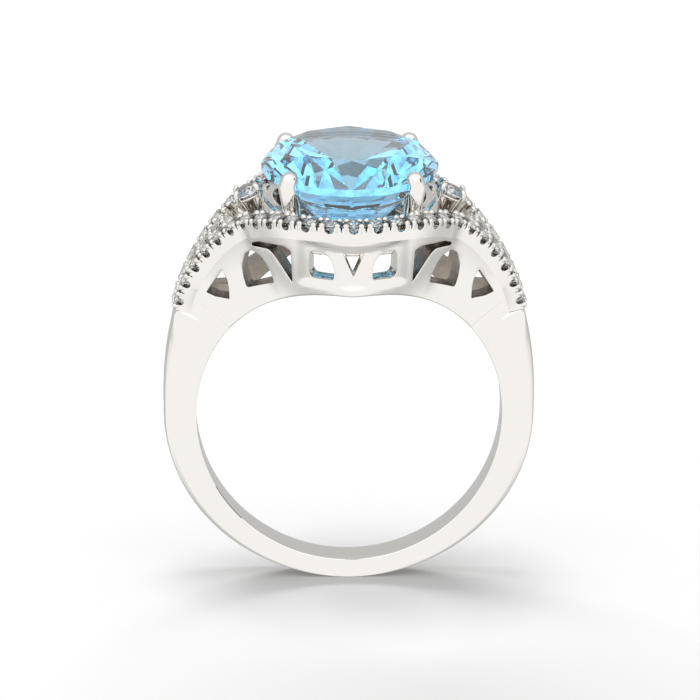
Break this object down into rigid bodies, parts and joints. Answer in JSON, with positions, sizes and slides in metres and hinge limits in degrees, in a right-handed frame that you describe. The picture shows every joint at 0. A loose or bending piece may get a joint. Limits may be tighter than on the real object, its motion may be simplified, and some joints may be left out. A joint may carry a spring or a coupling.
{
  "type": "cocktail ring",
  "caption": "Cocktail ring: oval blue stone held by claws over an openwork gallery, diamond-set rails running shoulder to shoulder, and a small round stone on either side.",
  "frame": {"origin": "centre of the finger hole, midway along the finger", "axes": "+Y along the finger, +Z through the centre stone, +X to the right seen from the front"},
  "size_m": [0.021, 0.0156, 0.0252],
  "materials": {
    "white_metal": "mirror polished white gold",
    "blue_topaz": "polished facets",
    "diamond": "polished facets"
  },
  "bodies": {
    "root": {"shank": "white_metal", "front_gallery_wall": "white_metal", "back_gallery_wall": "white_metal", "front_pave_rail": "white_metal", "back_pave_rail": "white_metal", "left_shoulder_plate": "white_metal", "right_shoulder_plate": "white_metal", "front_rail_beads": "white_metal", "back_rail_beads": "white_metal", "left_shoulder_beads": "white_metal", "right_shoulder_beads": "white_metal", "front_rail_diamonds": "diamond", "back_rail_diamonds": "diamond", "left_shoulder_diamonds": "diamond", "right_shoulder_diamonds": "diamond", "centre_topaz": "blue_topaz", "head_seat_rail": "white_metal", "head_base_rail": "white_metal", "claw_front_left": "white_metal", "claw_front_right": "white_metal", "claw_back_left": "white_metal", "claw_back_right": "white_metal", "left_bridge": "white_metal", "right_bridge": "white_metal", "left_accent_head": "white_metal", "right_accent_head": "white_metal", "left_accent_claws": "white_metal", "right_accent_claws": "white_metal", "left_accent_diamond": "diamond", "right_accent_diamond": "diamond"}
  },
  "joints": []
}
